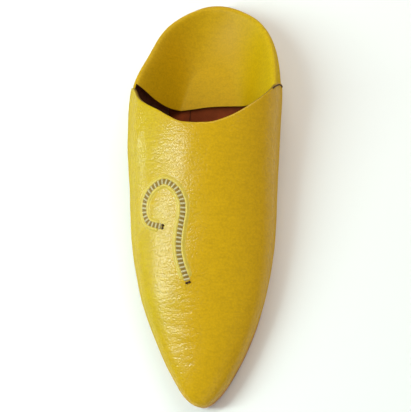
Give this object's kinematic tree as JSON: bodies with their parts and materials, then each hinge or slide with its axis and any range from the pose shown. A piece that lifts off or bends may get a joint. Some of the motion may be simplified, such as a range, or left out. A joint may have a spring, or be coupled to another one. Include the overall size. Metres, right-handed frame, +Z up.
{
  "type": "babouche slipper",
  "caption": "Pointed leather babouche slipper for the right foot, open throat, heel quarter folded down onto the insole, flat leather sole.",
  "frame": {"origin": "on the floor, at the middle of the slipper's length and width", "axes": "+Z up, +Y towards the heel with the toe at -Y, +X towards the inner side of the foot"},
  "size_m": [0.1031, 0.276, 0.0611],
  "materials": {
    "sole_leather": "satin",
    "insole_leather": "matt",
    "yellow_goat_leather": "satin"
  },
  "bodies": {
    "root": {"outsole": "sole_leather", "insole": "insole_leather", "upper": "yellow_goat_leather"}
  },
  "joints": []
}
